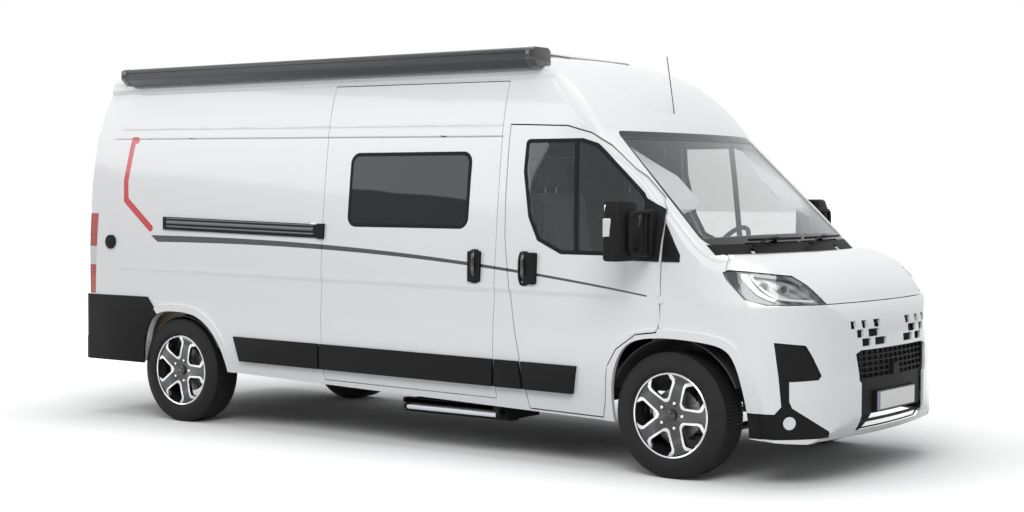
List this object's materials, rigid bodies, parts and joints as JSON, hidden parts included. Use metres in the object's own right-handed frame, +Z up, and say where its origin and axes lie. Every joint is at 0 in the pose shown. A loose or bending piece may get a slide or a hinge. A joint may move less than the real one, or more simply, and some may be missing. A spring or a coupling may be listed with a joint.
{
  "type": "camper van",
  "caption": "Long high-roof panel-van camper with opening doors, bonnet, roof vent, entry step, steered front wheels and a side awning case on the roof.",
  "frame": {"origin": "on the ground, at the centre of the whole vehicle's length and width", "axes": "+X to the front, +Y to the vehicle's left, +Z up"},
  "size_m": [5.9843, 2.64, 2.56],
  "materials": {
    "awning_case": "anthracite powder coat",
    "black_plastic": "grained black plastic",
    "black_steel": "black chassis paint",
    "body_white": "gloss white paint",
    "cast_metal": "cast block",
    "dark_gloss": "dark gloss plastic",
    "dark_plastic": "moulded tank plastic",
    "furniture_board": "laminated board",
    "lamp_clear": "clear lens over chrome",
    "lamp_red": "red and white lens",
    "mattress_fabric": "mattress cloth",
    "plate_white": "bare reflective sheet",
    "screen_glass": "clear laminated glass",
    "seat_fabric": "dark woven cloth",
    "smoke_plastic": "smoked acrylic",
    "steel": "bare steel pipe",
    "step_aluminium": "anodised silver",
    "tinted_glass": "dark tinted glass",
    "tyre_rubber": "road tyre rubber",
    "wheel_alloy": "machined faces over black paint"
  },
  "bodies": {
    "van_body": {"awning": "awning_case", "bumper_insert": "black_plastic", "cowl_panel": "black_plastic", "dashboard": "black_plastic", "engine": "cast_metal", "exhaust": "steel", "floor_pan": "body_white", "front_bumper": "body_white", "front_frame": "black_steel", "front_lamps": "lamp_clear", "front_seats": "seat_fabric", "front_wings": "body_white", "kitchen_unit": "furniture_board", "lower_grille": "black_plastic", "mattress": "mattress_fabric", "number_plate": "plate_white", "rear_axle": "black_steel", "rear_bed": "furniture_board", "rear_bumper": "black_plastic", "roof_fittings": "dark_gloss", "roof_panel": "body_white", "seat_bases": "dark_plastic", "side_panel_left": "body_white", "side_panel_right": "body_white", "side_trim": "black_plastic", "side_windows": "tinted_glass", "sliding_door": "body_white", "step_housing": "step_aluminium", "tail_lamps": "lamp_red", "tanks": "dark_plastic", "windscreen": "screen_glass"},
    "bonnet_lid": {"bonnet": "body_white"},
    "front_door_left": {"front_door_left": "body_white", "door_glass_left": "tinted_glass", "door_trim_left": "black_plastic", "mirror_left": "black_plastic"},
    "front_door_right": {"front_door_right": "body_white", "door_glass_right": "tinted_glass", "door_trim_right": "black_plastic", "mirror_right": "black_plastic"},
    "rear_door_left": {"rear_door_left": "body_white", "rear_window_left": "tinted_glass"},
    "rear_door_right": {"rear_door_right": "body_white", "rear_window_right": "tinted_glass"},
    "roof_vent_lid": {"roof_vent_lid": "smoke_plastic"},
    "entry_step": {"entry_step": "step_aluminium"},
    "steering_wheel": {"steering_wheel": "black_plastic"},
    "knuckle_left": {"knuckle_left": "black_steel"},
    "knuckle_right": {"knuckle_right": "black_steel"},
    "wheel_front_left": {"tyre_front_left": "tyre_rubber", "rim_front_left": "wheel_alloy"},
    "wheel_front_right": {"tyre_front_right": "tyre_rubber", "rim_front_right": "wheel_alloy"},
    "wheel_rear_left": {"tyre_rear_left": "tyre_rubber", "rim_rear_left": "wheel_alloy"},
    "wheel_rear_right": {"tyre_rear_right": "tyre_rubber", "rim_rear_right": "wheel_alloy"}
  },
  "joints": [
    {"name": "bonnet_open", "type": "hinge", "parent": "van_body", "child": "bonnet_lid", "pos_m": [2.325, 0, 1.285], "axis": [0, -1, 0], "range_deg": [0, 55]},
    {"name": "front_door_left_open", "type": "hinge", "parent": "van_body", "child": "front_door_left", "pos_m": [1.989, 1.012, 0.9], "axis": [0, 0, -1], "range_deg": [0, 68]},
    {"name": "front_door_right_open", "type": "hinge", "parent": "van_body", "child": "front_door_right", "pos_m": [1.989, -1.012, 0.9], "axis": [0, 0, 1], "range_deg": [0, 68]},
    {"name": "rear_door_left_open", "type": "hinge", "parent": "van_body", "child": "rear_door_left", "pos_m": [-2.965, 0.824, 1], "axis": [0, 0, -1], "range_deg": [0, 180]},
    {"name": "rear_door_right_open", "type": "hinge", "parent": "van_body", "child": "rear_door_right", "pos_m": [-2.965, -0.824, 1], "axis": [0, 0, 1], "range_deg": [0, 180]},
    {"name": "roof_vent_open", "type": "hinge", "parent": "van_body", "child": "roof_vent_lid", "pos_m": [-0.412, 0, 2.545], "axis": [0, -1, 0], "range_deg": [0, 50]},
    {"name": "entry_step_out", "type": "slide", "parent": "van_body", "child": "entry_step", "axis": [0, -1, 0], "range_m": [0, 0.22]},
    {"name": "steer_left", "type": "hinge", "parent": "van_body", "child": "knuckle_left", "pos_m": [2.051, 0.6, 1.0017], "axis": [0, -0.2294, 0.9733], "range_deg": [-35, 35]},
    {"name": "steer_right", "type": "hinge", "parent": "van_body", "child": "knuckle_right", "pos_m": [2.051, -0.6, 1.0017], "axis": [0, 0.2294, 0.9733], "range_deg": [-35, 35]},
    {"name": "steering_wheel_turn", "type": "hinge", "parent": "van_body", "child": "steering_wheel", "pos_m": [1.59, 0.48, 1.25], "axis": [-0.8192, 0, 0.5736], "range_deg": [-525, 525]},
    {"name": "wheel_front_left_spin", "type": "hinge", "parent": "knuckle_left", "child": "wheel_front_left", "pos_m": [2.051, 0.88, 0.362], "axis": [0, 1, 0], "continuous": true},
    {"name": "wheel_front_right_spin", "type": "hinge", "parent": "knuckle_right", "child": "wheel_front_right", "pos_m": [2.051, -0.88, 0.362], "axis": [0, 1, 0], "continuous": true},
    {"name": "wheel_rear_left_spin", "type": "hinge", "parent": "van_body", "child": "wheel_rear_left", "pos_m": [-1.984, 0.88, 0.362], "axis": [0, 1, 0], "continuous": true},
    {"name": "wheel_rear_right_spin", "type": "hinge", "parent": "van_body", "child": "wheel_rear_right", "pos_m": [-1.984, -0.88, 0.362], "axis": [0, 1, 0], "continuous": true}
  ],
  "couplings": [
    {"joint": "steer_right", "follows": "steer_left", "ratio": 1},
    {"joint": "steering_wheel_turn", "follows": "steer_left", "ratio": 15}
  ]
}
